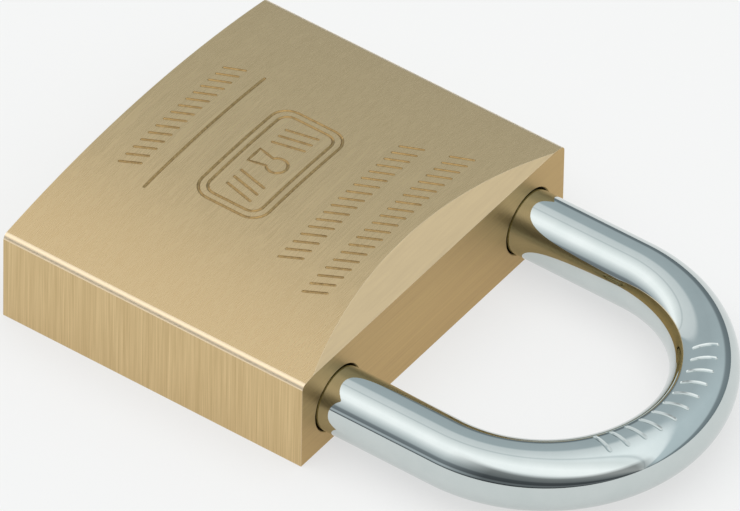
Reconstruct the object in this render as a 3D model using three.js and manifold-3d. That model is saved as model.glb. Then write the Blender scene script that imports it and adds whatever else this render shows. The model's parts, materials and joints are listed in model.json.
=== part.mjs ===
// A 50 mm solid-brass padlock with an 8 mm plated steel shackle, locked at heel and toe by two bolts
// that a five-pin cylinder drives. Millimetres, +Z up, lying on its flat back: the shackle points
// along +X, the short toe leg is on the +Y side and the domed front faces +Z. The pieces are drawn
// with x measured from the key end, and the group then moves the whole lock so that its origin is
// at the centre of its length, on the back. It is shown shut with the plug turned to open, so the
// bolts are drawn back out of the shackle and the key pins stand at the shear line.
import * as THREE from "three";
import { mergeVertices } from "three/addons/utils/BufferGeometryUtils.js";
import Module from "manifold-3d";

const wasm = await Module();
wasm.setup();

// ---- Driving dimensions ----

// Lock body
const BODY_WIDTH = 50; // across the two legs of the shackle
const BODY_LENGTH = 41.5; // from the key end to the shackle end
const BODY_THICKNESS = 14.3; // from the flat back to the crest of the dome
const DOME_RADIUS = 140; // of the front, across the width
const EDGE_ROUND = 0.8; // between the front and each side
const BEVEL_LENGTH = 3.95; // bevel of the front at the shackle end, along the crest
const BEVEL_DROP = 1.9; // how far that bevel falls from the crest
const SIDE_WALL = 2.65; // between a leg's bore and the side
const BACK_WALL = 1.35; // between a leg's bore and the back
const KEY_END_WALL = 3; // between the heel bore and the key end

// Shackle
const SHACKLE_DIAMETER = 8;
const SHACKLE_CLEARANCE = 29.2; // from the body to the inside of the crown
const LEG_FIT = 0.15; // radial clearance of a leg in its bore
const TOE_TIP = 1.85; // solid end of the toe leg past its notch
const TOE_END_GAP = 0.6; // between the toe leg and the bottom of its bore
const NOTCH_DEPTH = 1.8; // also the depth of the neck and the flat
const NOTCH_FIT = 0.2; // between a bolt and each end of its notch
const LIFT_MARGIN = 1; // how far the toe leg rises clear of the body

// Bolts
const BOLT_DIAMETER = 6;
const BOLT_FIT = 0.15; // radial clearance of a bolt in the cross bore, and of its nose in the notch
const BOLT_SETBACK = 7; // from the shackle end to the bolts' axis
const BOLT_TRAVEL = 2.1;
const BOLT_NOSE_CHAMFER = 1.2; // lets the shackle push the bolts back as it snaps shut
const BOLT_ROOT = 3.9; // from the lock's centre plane to the full round of a bolt that is drawn back
const TONGUE_GAP = 0.5; // between the two bolts' half-round tongues
const TONGUE_TIP = 1; // of a tongue, past its slot
const BOLT_SPRING_POCKET_DEPTH = 4.5;
const BOLT_SPRING_POCKET_RADIUS = 1;

// Cam between the plug and the bolts
const CAM_DIAMETER = 6;
const CAM_FIT = 0.2;
const CRANK_PIN_DIAMETER = 1.2;
const CRANK_FIT = 0.15; // on each side of a crank pin in its slot
const CRANK_PIN_REACH = 1.8; // past the bolts' axis
const TANG_WIDTH = 2;
const TANG_LENGTH = 1.8;
const TANG_FIT = 0.1;

// Cylinder plug and pins
const PLUG_DIAMETER = 11;
const PLUG_FIT = 0.1;
const PLUG_RECESS = 0.2; // of its face below the key end
const PLUG_END_GAP = 0.3;
const PLUG_TAIL = 1.2; // behind the retaining groove
const PIN_COUNT = 5;
const PIN_PITCH = 3.4;
const FIRST_PIN = 3.8; // from the key end
const PIN_DIAMETER = 2.4;
const PIN_FIT = 0.1;
const KEY_PIN_LENGTHS = [3.9, 3.2, 3.6, 2.9, 4]; // the cuts of its key, from the key end inwards
const SHEAR_GAP = 0.3; // from a key pin's end to the plug's round
const DRIVER_LENGTH = 4.2;
const DRIVER_GAP = 0.15; // from a driver pin to the plug's bore
const CHAMBER_PLUG_LENGTH = 3.8;
const CHAMBER_PLUG_FIT = 0.05;
const CHAMBER_WEB = 0.8; // between the last chamber and the retaining groove
const KEYWAY_WIDTH = 1.5;
const KEYWAY_STEP = 0.5; // sideways, at mid-height
const KEYWAY_FLOOR = 4; // below the plug's axis

// Retaining pins and plugs that close the bores
const RETAINING_PIN_DIAMETER = 2;
const RETAINING_PIN_FIT = 0.06;
const RETAINING_GAP = 0.2; // from a retaining pin to the groove or flat that it works in
const LIFT_STOP_GAP = 0.15; // between the heel leg's shoulder and its retaining pin, shackle up
const RETAINING_PIN_SEAT = 1.2; // in the metal past the bore that it crosses
const FLUSH_GAP = 0.05; // how far a pressed-in end lies below the face around it

// Springs
const SPRING_GAP = 0.2; // at each end
const SHACKLE_SPRING_LENGTH = 6; // with the shackle shut
const SHACKLE_SPRING = { coil: 2.9, wire: 0.4, turns: 4, steps: 12, sides: 6 };
const PIN_SPRING = { coil: 0.85, wire: 0.16, turns: 7, steps: 8, sides: 4 };
const BOLT_SPRING = { coil: 0.65, wire: 0.14, turns: 6, steps: 8, sides: 4 };

// Facets of the round pieces, and how far a cutter runs past the face that it opens
const LEG_SIDES = 28;
const PLUG_SIDES = 32;
const BOLT_SIDES = 24;
const PIN_SIDES = 12;
const OUTLINE_SEGMENTS = 4;
const SHACKLE_STEPS = 60; // along the bar
const OVERRUN = 1;
const WELD = 1e-4;

// ---- Places that follow from them ----

const legRadius = SHACKLE_DIAMETER / 2;
const legBoreRadius = legRadius + LEG_FIT;
const legY = BODY_WIDTH / 2 - SIDE_WALL - legBoreRadius;
const legZ = BACK_WALL + legBoreRadius;
const overallLength = BODY_LENGTH + SHACKLE_CLEARANCE + SHACKLE_DIAMETER;

const boltRadius = BOLT_DIAMETER / 2;
const boltBoreRadius = boltRadius + BOLT_FIT;
const boltX = BODY_LENGTH - BOLT_SETBACK;
const notchHalf = boltRadius + NOTCH_FIT;
const notchY = legY - legRadius + NOTCH_DEPTH; // floor of a leg's notch
const noseY = notchY - BOLT_FIT - BOLT_TRAVEL; // end of a bolt that is drawn back

const toeInsertion = BOLT_SETBACK + boltBoreRadius + TOE_TIP;
const liftTravel = toeInsertion + LIFT_MARGIN;
const heelTipX = KEY_END_WALL + SHACKLE_SPRING_LENGTH + 2 * SPRING_GAP;
const neckX = boltX - liftTravel; // comes level with the bolts when the shackle is up

const plugRadius = PLUG_DIAMETER / 2;
const plugBoreRadius = plugRadius + PLUG_FIT;
const plugFlank = plugRadius / 2; // inside its bore, where the holes that cross it start or end
const plugZ = BODY_THICKNESS / 2;
const pinRadius = PIN_DIAMETER / 2;
const chamberRadius = pinRadius + PIN_FIT;
const pinX = (index) => FIRST_PIN + index * PIN_PITCH;
const lastChamberEnd = pinX(PIN_COUNT - 1) + chamberRadius;
const retainingRadius = RETAINING_PIN_DIAMETER / 2;
const retainingBoreRadius = retainingRadius + RETAINING_PIN_FIT;
const grooveHalf = retainingRadius + RETAINING_GAP / 2;
const grooveX = lastChamberEnd + CHAMBER_WEB + grooveHalf;
const plugEnd = grooveX + grooveHalf + PLUG_TAIL;
const plugBoreEnd = plugEnd + PLUG_END_GAP;
const keyPinTop = plugRadius - SHEAR_GAP;
const driverBottom = plugBoreRadius + DRIVER_GAP;
const driverTop = driverBottom + DRIVER_LENGTH;
const chamberPlugBottom = BODY_WIDTH / 2 - CHAMBER_PLUG_LENGTH;

// The crank pins swing a quarter turn, from 45 degrees before square to 45 degrees after it, which
// carries each bolt through its travel.
const crankRadius = BOLT_TRAVEL / Math.SQRT2;
const crankPinRadius = CRANK_PIN_DIAMETER / 2;
const crankOffset = BOLT_TRAVEL / 2; // of each crank pin from both planes, with the bolts drawn back
const slotHalf = crankPinRadius + CRANK_FIT;
const tongueTipY = crankOffset + slotHalf + TONGUE_TIP;
const boltSpringZ = (TONGUE_GAP / 2 + boltRadius) / 2;

const retainingPinX = neckX - notchHalf + liftTravel + retainingRadius + LIFT_STOP_GAP;
const retainingPinY = -(legY + legRadius - NOTCH_DEPTH + RETAINING_GAP + retainingRadius);
const legFlatY = retainingPinY + retainingRadius + RETAINING_GAP;

// ---- Making solids ----

// A closed geometry as a solid, its shared corners merged.
function solid(geometry) {
  const bare = geometry.clone();
  bare.deleteAttribute("normal");
  bare.deleteAttribute("uv");
  const merged = mergeVertices(bare, WELD);
  return new wasm.Manifold(
    new wasm.Mesh({
      numProp: 3,
      vertProperties: merged.attributes.position.array,
      triVerts: new Uint32Array(merged.index.array),
    }),
  );
}

// A solid as a geometry again.
function geometryOf(made) {
  const mesh = made.getMesh();
  const corners = new Float32Array(mesh.numVert * 3);
  for (let i = 0; i < mesh.numVert; i += 1) {
    const start = i * mesh.numProp;
    corners.set(mesh.vertProperties.subarray(start, start + 3), i * 3);
  }
  const geometry = new THREE.BufferGeometry();
  geometry.setAttribute("position", new THREE.BufferAttribute(corners, 3));
  geometry.setIndex(new THREE.BufferAttribute(new Uint32Array(mesh.triVerts), 1));
  return geometry;
}

// A blank with each of the cutters taken out of it.
function cut(blank, cutters) {
  let result = solid(blank);
  for (const cutter of cutters) {
    result = result.subtract(solid(cutter));
  }
  return result;
}

// A round rod from the origin, along +X, +Y or +Z.
function rod(axis, radius, length, sides) {
  const geometry = new THREE.CylinderGeometry(radius, radius, length, sides);
  geometry.translate(0, length / 2, 0);
  if (axis === "x") geometry.rotateZ(-Math.PI / 2);
  if (axis === "z") geometry.rotateX(Math.PI / 2);
  return geometry;
}

// A box between two corners.
function block(low, high) {
  const size = high.map((value, axis) => value - low[axis]);
  const centre = high.map((value, axis) => (value + low[axis]) / 2);
  return new THREE.BoxGeometry(...size).translate(...centre);
}

// An outline drawn across the lock, in y and z, extruded along +X from x = 0.
function extrudeAlongX(outline, length) {
  const geometry = new THREE.ExtrudeGeometry(outline, {
    depth: length,
    bevelEnabled: false,
    curveSegments: OUTLINE_SEGMENTS,
  });
  const turn = new THREE.Matrix4().makeBasis(
    new THREE.Vector3(0, 1, 0),
    new THREE.Vector3(0, 0, 1),
    new THREE.Vector3(1, 0, 0),
  );
  return geometry.applyMatrix4(turn);
}

// An outline drawn from the side, in x and z, extruded both ways across the lock.
function extrudeAcross(outline, width) {
  const geometry = new THREE.ExtrudeGeometry(outline, { depth: width, bevelEnabled: false });
  return geometry.rotateX(Math.PI / 2).translate(0, width / 2, 0);
}

// A regular polygon, as the section of a round wire or bar.
function roundSection(radius, sides) {
  const corners = [];
  for (let i = 0; i < sides; i += 1) {
    const angle = (2 * Math.PI * i) / sides;
    corners.push(new THREE.Vector2(radius * Math.cos(angle), radius * Math.sin(angle)));
  }
  return new THREE.Shape(corners);
}

function sweep(section, path, steps) {
  return new THREE.ExtrudeGeometry(section, { extrudePath: path, steps, bevelEnabled: false });
}

class Helix extends THREE.Curve {
  constructor(radius, length, turns) {
    super();
    this.radius = radius;
    this.length = length;
    this.turns = turns;
  }

  getPoint(t, target = new THREE.Vector3()) {
    const angle = 2 * Math.PI * this.turns * t;
    return target.set(this.radius * Math.cos(angle), this.length * t, this.radius * Math.sin(angle));
  }
}

// A compression spring from the origin along +Y. Its length is taken over the wire.
function coilSpring(shape, length) {
  const path = new Helix(shape.coil, length - 2 * shape.wire, shape.turns);
  const wire = sweep(roundSection(shape.wire, shape.sides), path, shape.turns * shape.steps);
  return wire.translate(0, shape.wire, 0);
}

// ---- Lock body ----

// Across the body: a flat back, upright sides, and a domed front that a small round joins to them.
function bodySection() {
  const side = BODY_WIDTH / 2;
  const domeZ = BODY_THICKNESS - DOME_RADIUS;
  const roundY = side - EDGE_ROUND;
  const roundZ = domeZ + Math.sqrt((DOME_RADIUS - EDGE_ROUND) ** 2 - roundY ** 2);
  const turn = Math.atan2(roundZ - domeZ, roundY);
  const section = new THREE.Shape();
  section.moveTo(-side, 0);
  section.lineTo(side, 0);
  section.lineTo(side, roundZ);
  section.absarc(roundY, roundZ, EDGE_ROUND, 0, turn);
  section.absarc(0, domeZ, DOME_RADIUS, turn, Math.PI - turn);
  section.absarc(-roundY, roundZ, EDGE_ROUND, Math.PI - turn, Math.PI);
  return section;
}

// What the bevel takes off the front at the shackle end.
function bevelCutter() {
  const slope = BEVEL_DROP / BEVEL_LENGTH;
  const top = BODY_THICKNESS + OVERRUN;
  const outline = new THREE.Shape();
  outline.moveTo(BODY_LENGTH - BEVEL_LENGTH - OVERRUN / slope, top);
  outline.lineTo(BODY_LENGTH + OVERRUN, BODY_THICKNESS - BEVEL_DROP - OVERRUN * slope);
  outline.lineTo(BODY_LENGTH + OVERRUN, top);
  return extrudeAcross(outline, BODY_WIDTH + 2 * OVERRUN);
}

// The round holes of the body: two for the shackle's legs, one each for the plug, the cam and the
// bolts, and one for each pin stack and each retaining pin.
function bodyBores() {
  const toeBoreLength = toeInsertion + TOE_END_GAP;
  const heelBoreLength = BODY_LENGTH - KEY_END_WALL;
  const bores = [
    rod("x", legBoreRadius, heelBoreLength + OVERRUN, LEG_SIDES).translate(KEY_END_WALL, -legY, legZ),
    rod("x", legBoreRadius, toeBoreLength + OVERRUN, LEG_SIDES)
      .translate(BODY_LENGTH - toeBoreLength, legY, legZ),
    rod("x", plugBoreRadius, plugBoreEnd + OVERRUN, PLUG_SIDES).translate(-OVERRUN, 0, plugZ),
    rod("x", CAM_DIAMETER / 2 + CAM_FIT, boltX - plugEnd, BOLT_SIDES).translate(plugEnd, 0, plugZ),
    rod("y", boltBoreRadius, legY + BODY_WIDTH / 2 + OVERRUN, BOLT_SIDES)
      .translate(boltX, -legY, plugZ),
    rod("z", retainingBoreRadius, retainingPinTop(legZ + legBoreRadius) + OVERRUN, PIN_SIDES)
      .translate(retainingPinX, retainingPinY, -OVERRUN),
    rod("z", retainingBoreRadius, retainingPinTop(plugZ + plugFlank) + OVERRUN, PIN_SIDES)
      .translate(grooveX, -plugRadius, -OVERRUN),
  ];
  for (let i = 0; i < PIN_COUNT; i += 1) {
    const length = BODY_WIDTH / 2 - plugFlank + OVERRUN;
    bores.push(rod("y", chamberRadius, length, PIN_SIDES).translate(pinX(i), plugFlank, plugZ));
  }
  return bores;
}

// How high a retaining pin's hole goes, to seat the pin past what it crosses.
function retainingPinTop(crossedTop) {
  return crossedTop + RETAINING_PIN_SEAT;
}

function lockBody() {
  const blank = extrudeAlongX(bodySection(), BODY_LENGTH);
  return cut(blank, [bevelCutter(), ...bodyBores()]);
}

// ---- Shackle ----

// The centreline, from the heel leg's tip round the crown to the toe leg's tip.
function shacklePath() {
  const crownX = BODY_LENGTH + SHACKLE_CLEARANCE + legRadius - legY;
  const path = new THREE.CurvePath();
  path.add(
    new THREE.LineCurve3(
      new THREE.Vector3(heelTipX, -legY, legZ),
      new THREE.Vector3(crownX, -legY, legZ),
    ),
  );
  path.add(new Crown(crownX, legY, legZ));
  path.add(
    new THREE.LineCurve3(
      new THREE.Vector3(crownX, legY, legZ),
      new THREE.Vector3(BODY_LENGTH - toeInsertion, legY, legZ),
    ),
  );
  return path;
}

class Crown extends THREE.Curve {
  constructor(x, radius, z) {
    super();
    this.x = x;
    this.radius = radius;
    this.z = z;
  }

  getPoint(t, target = new THREE.Vector3()) {
    const angle = Math.PI * (t - 1 / 2);
    const { x, radius, z } = this;
    return target.set(x + radius * Math.cos(angle), radius * Math.sin(angle), z);
  }
}

// A ring of metal round a leg, taken away to leave the neck.
function neckCutter() {
  const inner = legRadius - NOTCH_DEPTH;
  const outer = legRadius + OVERRUN;
  const profile = [
    new THREE.Vector2(inner, -notchHalf),
    new THREE.Vector2(outer, -notchHalf),
    new THREE.Vector2(outer, notchHalf),
    new THREE.Vector2(inner, notchHalf),
    new THREE.Vector2(inner, -notchHalf),
  ];
  const ring = new THREE.LatheGeometry(profile, LEG_SIDES);
  return ring.rotateZ(-Math.PI / 2).translate(neckX, -legY, legZ);
}

// The notch that a bolt enters, on the inner side of the leg on the given side of the lock.
function notchCutter(side) {
  const inner = legY - legRadius - OVERRUN;
  const low = side > 0 ? inner : -notchY;
  const high = side > 0 ? notchY : -inner;
  return block(
    [boltX - notchHalf, low, legZ - legRadius - OVERRUN],
    [boltX + notchHalf, high, legZ + legRadius + OVERRUN],
  );
}

// The long flat on the heel leg's outer side, which slides past the retaining pin.
function flatCutter() {
  return block(
    [neckX, -(legY + legRadius + OVERRUN), legZ - legRadius - OVERRUN],
    [retainingPinX + retainingRadius + RETAINING_GAP, legFlatY, legZ + legRadius + OVERRUN],
  );
}

function shackle() {
  const bar = sweep(roundSection(legRadius, LEG_SIDES), shacklePath(), SHACKLE_STEPS);
  return cut(bar, [neckCutter(), notchCutter(-1), notchCutter(1), flatCutter()]);
}

// ---- Cylinder plug, cam and bolts ----

// The opening for the key: two strips side by side, which overlap to make a stepped slot.
function keywayCutter() {
  const half = KEYWAY_WIDTH / 2;
  const shift = KEYWAY_STEP / 2;
  const top = keyPinTop - Math.max(...KEY_PIN_LENGTHS) + PIN_DIAMETER;
  const outline = new THREE.Shape();
  outline.moveTo(-KEYWAY_FLOOR, -half - shift);
  outline.lineTo(0, -half - shift);
  outline.lineTo(0, -half + shift);
  outline.lineTo(top, -half + shift);
  outline.lineTo(top, half + shift);
  outline.lineTo(-KEYWAY_STEP, half + shift);
  outline.lineTo(-KEYWAY_STEP, half - shift);
  outline.lineTo(-KEYWAY_FLOOR, half - shift);
  return extrudeAlongX(outline, lastChamberEnd + OVERRUN).translate(-OVERRUN, 0, plugZ);
}

// The groove round the plug that its retaining pin runs in.
function plugGrooveCutter() {
  const inner = plugRadius - retainingRadius - RETAINING_GAP;
  const outer = plugRadius + OVERRUN;
  const profile = [
    new THREE.Vector2(inner, -grooveHalf),
    new THREE.Vector2(outer, -grooveHalf),
    new THREE.Vector2(outer, grooveHalf),
    new THREE.Vector2(inner, grooveHalf),
    new THREE.Vector2(inner, -grooveHalf),
  ];
  const ring = new THREE.LatheGeometry(profile, PLUG_SIDES);
  return ring.rotateZ(-Math.PI / 2).translate(grooveX, 0, plugZ);
}

function cylinderPlug() {
  const blank = rod("x", plugRadius, plugEnd - PLUG_RECESS, PLUG_SIDES).translate(PLUG_RECESS, 0, plugZ);
  const tangSlotHalf = TANG_WIDTH / 2 + TANG_FIT;
  const cutters = [
    keywayCutter(),
    plugGrooveCutter(),
    block(
      [plugEnd - TANG_LENGTH - TANG_FIT, -plugRadius - OVERRUN, plugZ - tangSlotHalf],
      [plugEnd + OVERRUN, plugRadius + OVERRUN, plugZ + tangSlotHalf],
    ),
  ];
  const chamberBottom = keyPinTop - Math.max(...KEY_PIN_LENGTHS) - PIN_FIT;
  for (let i = 0; i < PIN_COUNT; i += 1) {
    const chamber = rod("y", chamberRadius, plugRadius, PIN_SIDES);
    cutters.push(chamber.translate(pinX(i), chamberBottom, plugZ));
  }
  return cut(blank, cutters);
}

// The tang sits in the slot across the plug's end, and the two crank pins reach into the bolts.
function cam() {
  const shaftStart = plugEnd + TANG_FIT;
  const shaftEnd = boltX - boltBoreRadius - CRANK_FIT;
  const tangHalf = plugRadius - PLUG_FIT;
  const tang = block(
    [plugEnd - TANG_LENGTH, -tangHalf, plugZ - TANG_WIDTH / 2],
    [shaftEnd, tangHalf, plugZ + TANG_WIDTH / 2],
  );
  const shaft = rod("x", CAM_DIAMETER / 2, shaftEnd - shaftStart, BOLT_SIDES);
  const keep = rod("x", CAM_DIAMETER / 2, shaftEnd - plugEnd + TANG_LENGTH, BOLT_SIDES);
  let made = solid(tang).intersect(solid(keep.translate(plugEnd - TANG_LENGTH, 0, plugZ)));
  made = made.add(solid(shaft.translate(shaftStart, 0, plugZ)));
  for (const side of [-1, 1]) {
    const start = (shaftStart + shaftEnd) / 2;
    const pin = rod("x", crankPinRadius, boltX + CRANK_PIN_REACH - start, PIN_SIDES);
    made = made.add(solid(pin.translate(start, side * crankOffset, plugZ + side * crankOffset)));
  }
  return made;
}

// A bolt on the heel side, drawn back: its nose points along -Y, and its half-round tongue crosses
// the centre plane above the axis, with a slot for its crank pin.
function heelBoltBlank() {
  const length = noseY + tongueTipY;
  const blank = rod("y", boltRadius, length, BOLT_SIDES).translate(0, -noseY, 0);
  const crankTop = crankRadius + slotHalf;
  const noseOutline = new THREE.Shape();
  noseOutline.moveTo(boltRadius - BOLT_NOSE_CHAMFER - OVERRUN, -noseY - OVERRUN);
  noseOutline.lineTo(boltRadius + OVERRUN, -noseY - OVERRUN);
  noseOutline.lineTo(boltRadius + OVERRUN, -noseY + BOLT_NOSE_CHAMFER + OVERRUN);
  const noseWidth = 2 * BOLT_DIAMETER; // past both of its sides
  const nose = new THREE.ExtrudeGeometry(noseOutline, { depth: noseWidth, bevelEnabled: false });
  const pocket = rod("y", BOLT_SPRING_POCKET_RADIUS, BOLT_SPRING_POCKET_DEPTH + OVERRUN, PIN_SIDES);
  return cut(blank, [
    // the half that the other bolt's tongue fills
    block(
      [-boltRadius - OVERRUN, -BOLT_ROOT, -boltRadius - OVERRUN],
      [boltRadius + OVERRUN, tongueTipY + OVERRUN, TONGUE_GAP / 2],
    ),
    // the crank pin's slot
    block(
      [-boltRadius - OVERRUN, crankOffset - slotHalf, -boltRadius],
      [boltRadius + OVERRUN, crankOffset + slotHalf, crankTop],
    ),
    nose.translate(0, 0, -BOLT_DIAMETER),
    pocket.translate(0, -BOLT_ROOT - BOLT_SPRING_POCKET_DEPTH, -boltSpringZ),
  ]);
}

// Both bolts are the same piece: the toe bolt is the heel bolt turned half round.
function bolt(side) {
  const geometry = geometryOf(heelBoltBlank());
  if (side > 0) geometry.rotateX(Math.PI);
  return geometry.translate(boltX, 0, plugZ);
}

// The spring in a bolt's pocket pushes on the tip of the other bolt's tongue.
function boltSpring(side) {
  const start = -BOLT_ROOT - BOLT_SPRING_POCKET_DEPTH + SPRING_GAP;
  const length = -tongueTipY - SPRING_GAP - start;
  const spring = coilSpring(BOLT_SPRING, length).translate(0, start, -boltSpringZ);
  if (side > 0) spring.rotateX(Math.PI);
  return spring.translate(boltX, 0, plugZ);
}

function boltBorePlug() {
  const start = legY + legBoreRadius + RETAINING_GAP;
  const length = BODY_WIDTH / 2 - FLUSH_GAP - start;
  return rod("y", boltBoreRadius - CHAMBER_PLUG_FIT, length, BOLT_SIDES).translate(boltX, start, plugZ);
}

// ---- Pin stacks ----

// A key pin has a blunt cone where it rides on the key.
function keyPin(index) {
  const length = KEY_PIN_LENGTHS[index];
  const bottom = keyPinTop - length;
  const profile = [
    new THREE.Vector2(0, bottom),
    new THREE.Vector2(pinRadius / 2, bottom),
    new THREE.Vector2(pinRadius, bottom + pinRadius / 2),
    new THREE.Vector2(pinRadius, keyPinTop),
    new THREE.Vector2(0, keyPinTop),
  ];
  return new THREE.LatheGeometry(profile, PIN_SIDES).translate(pinX(index), 0, plugZ);
}

function driverPin(index) {
  return rod("y", pinRadius, DRIVER_LENGTH, PIN_SIDES).translate(pinX(index), driverBottom, plugZ);
}

function pinSpring(index) {
  const length = chamberPlugBottom - driverTop - 2 * SPRING_GAP;
  return coilSpring(PIN_SPRING, length).translate(pinX(index), driverTop + SPRING_GAP, plugZ);
}

function chamberPlug(index) {
  const length = CHAMBER_PLUG_LENGTH - FLUSH_GAP;
  const plug = rod("y", chamberRadius - CHAMBER_PLUG_FIT, length, PIN_SIDES);
  return plug.translate(pinX(index), chamberPlugBottom, plugZ);
}

// ---- Shackle spring and retaining pins ----

function shackleSpring() {
  const spring = coilSpring(SHACKLE_SPRING, SHACKLE_SPRING_LENGTH).rotateZ(-Math.PI / 2);
  return spring.translate(KEY_END_WALL + SPRING_GAP, -legY, legZ);
}

function shackleRetainingPin() {
  const length = retainingPinTop(legZ + legBoreRadius) - 2 * FLUSH_GAP;
  const pin = rod("z", retainingRadius, length, PIN_SIDES);
  return pin.translate(retainingPinX, retainingPinY, FLUSH_GAP);
}

function plugRetainingPin() {
  const length = retainingPinTop(plugZ + plugFlank) - 2 * FLUSH_GAP;
  return rod("z", retainingRadius, length, PIN_SIDES).translate(grooveX, -plugRadius, FLUSH_GAP);
}

// ---- Assembly ----

const finishes = {
  satinBrass: { color: 0xc9b078, roughness: 0.38, metalness: 1 },
  turnedBrass: { color: 0xc6a45a, roughness: 0.3, metalness: 1 },
  chromePlate: { color: 0xd9dde0, roughness: 0.06, metalness: 1 },
  springSteel: { color: 0x8f9296, roughness: 0.35, metalness: 1 },
  groundSteel: { color: 0xa9acb0, roughness: 0.3, metalness: 1 },
};

const padlock = new THREE.Group();
padlock.name = "padlock";
padlock.position.x = -overallLength / 2;

function place(name, shape, finish) {
  const geometry = shape.isBufferGeometry ? shape : geometryOf(shape);
  geometry.computeVertexNormals();
  const mesh = new THREE.Mesh(geometry, new THREE.MeshStandardMaterial(finishes[finish]));
  mesh.name = name;
  padlock.add(mesh);
}

place("lock_body", lockBody(), "satinBrass");
place("shackle", shackle(), "chromePlate");
place("shackle_spring", shackleSpring(), "springSteel");
place("shackle_retaining_pin", shackleRetainingPin(), "groundSteel");
place("cylinder_plug", cylinderPlug(), "turnedBrass");
place("plug_retaining_pin", plugRetainingPin(), "groundSteel");
place("cam", cam(), "groundSteel");
place("heel_bolt", bolt(-1), "groundSteel");
place("toe_bolt", bolt(1), "groundSteel");
place("heel_bolt_spring", boltSpring(-1), "springSteel");
place("toe_bolt_spring", boltSpring(1), "springSteel");
place("bolt_bore_plug", boltBorePlug(), "satinBrass");
for (let i = 0; i < PIN_COUNT; i += 1) {
  place(`key_pin_${i + 1}`, keyPin(i), "turnedBrass");
  place(`driver_pin_${i + 1}`, driverPin(i), "turnedBrass");
  place(`pin_spring_${i + 1}`, pinSpring(i), "springSteel");
  place(`chamber_plug_${i + 1}`, chamberPlug(i), "satinBrass");
}

export default padlock;
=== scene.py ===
"""A satin-brushed brass padlock with a chrome-plated shackle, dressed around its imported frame.

Lengths are in metres, and the sizes named below are in millimetres. The lock lies on its back:
+X runs from the key end to the shackle's crown, +Y to the toe leg's side, and +Z out of the front.
"""

import json
import math

import bmesh
import bpy
from mathutils import Matrix, Vector


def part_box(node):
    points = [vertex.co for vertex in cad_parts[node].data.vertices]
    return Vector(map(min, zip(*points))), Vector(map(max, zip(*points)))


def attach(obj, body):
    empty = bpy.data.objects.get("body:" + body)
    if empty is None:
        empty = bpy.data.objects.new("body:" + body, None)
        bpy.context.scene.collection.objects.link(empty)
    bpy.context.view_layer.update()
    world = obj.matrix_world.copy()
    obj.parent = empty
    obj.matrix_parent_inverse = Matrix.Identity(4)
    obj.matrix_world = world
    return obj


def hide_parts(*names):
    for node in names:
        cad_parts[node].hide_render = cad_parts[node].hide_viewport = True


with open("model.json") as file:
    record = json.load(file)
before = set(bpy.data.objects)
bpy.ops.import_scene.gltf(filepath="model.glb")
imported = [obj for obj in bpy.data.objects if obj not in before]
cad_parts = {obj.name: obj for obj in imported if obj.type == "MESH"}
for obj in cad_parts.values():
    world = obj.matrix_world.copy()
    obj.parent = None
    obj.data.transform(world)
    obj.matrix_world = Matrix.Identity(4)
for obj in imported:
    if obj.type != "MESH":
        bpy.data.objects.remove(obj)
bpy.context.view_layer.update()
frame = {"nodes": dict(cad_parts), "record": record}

MM = 0.001
X = Vector((1, 0, 0))
Y = Vector((0, 1, 0))
Z = Vector((0, 0, 1))
QUARTER_TURN = math.pi / 2
HALF_TURN = math.pi
FULL_TURN = 2 * math.pi

# ---- Sizes that the frame doesn't hold, in millimetres ----

# Body
DOME_RADIUS = 140
DOME_STRIPS = 48  # flats that make up the dome, about 1 mm each
EDGE_ROUND = 0.8  # between the domed front and each side
EDGE_ROUND_STEPS = 8
BEVEL_LENGTH = 3.95  # the ground bevel at the shackle end, along the crest
BEVEL_DROP = 1.9
EDGE_BREAK = 0.14  # where the arrises have been taken off
EDGE_BREAK_STEPS = 4
FACE_TILT = 11  # degrees that a facet may lean and still be ground with its side
MOUTH_FLARE = 0.12  # countersink at the mouths of the big bores
CREASE = 24  # degrees; the bevel's curved edge, at 25, stays crisp

# Fits in the body's bores
LEG_FIT = 0.15
BOLT_FIT = 0.15
PLUG_FIT = 0.1
PLUG_END_GAP = 0.3
CAM_FIT = 0.2
PIN_FIT = 0.1
PRESS_FIT = 0.06
LEG_BORE_END = 6.4  # from the heel leg's tip to the bottom of its bore
TOE_END_GAP = 0.6  # the same for the toe leg
CHAMBER_START = 2.75  # from the plug's axis, inside its round
STACKS = range(1, 6)  # the pin stacks, counted from the key end

# Engraving on the brass and stamping on the chrome
STROKE_RADIUS = 0.2
STROKE_DEPTH = 0.14
STAMP_RADIUS = 0.34
STAMP_DEPTH = 0.16
FACET_LENGTH = 1  # of the strokes on the front, so that they follow its dome

# Shackle
TIP_CHAMFER = 0.6
NOTCH_DEPTH = 1.8
NOTCH_FIT = 0.2
TOE_TIP = 1.85  # from the bolts' bore to the toe leg's tip
LIFT = 13  # from shut to open, which puts the neck where the heel notch was

# Plug
PLUG_CHAMFER = 0.25
KEYWAY_WIDTH = 1.5
KEYWAY_STEP = 0.5
KEYWAY_FLOOR = 4  # below the plug's axis
KEYWAY_TOP = 3.6
KEYWAY_FLARE = 0.15
GROOVE_RADIUS = 4.3
GROOVE_HALF = 1.1
TANG_WIDTH = 2.2
TANG_DEPTH = 1.9

# Facets
BAR_SIDES = 72
CROWN_STEPS = 96
BORE_SIDES = 72
BOLT_BORE_SIDES = 64
SMALL_SIDES = 40
STROKE_SIDES = 12
CAP_STEPS = 4
CORNER_STEPS = 6
BOW_STEPS = 16
STAMP_FACETS = 8

# In metres: how close corners merge, before and after a cut, and how far a cutter passes a face
WELD = 1e-7
CUT_WELD = 2e-6
OVERRUN = 1 * MM

ALIGNED = math.cos(math.radians(1))  # the least cosine between directions that count as the same

# ---- Places taken from the frame ----

body_low, body_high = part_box("lock_body")
shackle_low, shackle_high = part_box("shackle")
plug_low, plug_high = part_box("cylinder_plug")
cam_low, cam_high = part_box("cam")
bolt_low, bolt_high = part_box("heel_bolt")

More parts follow.
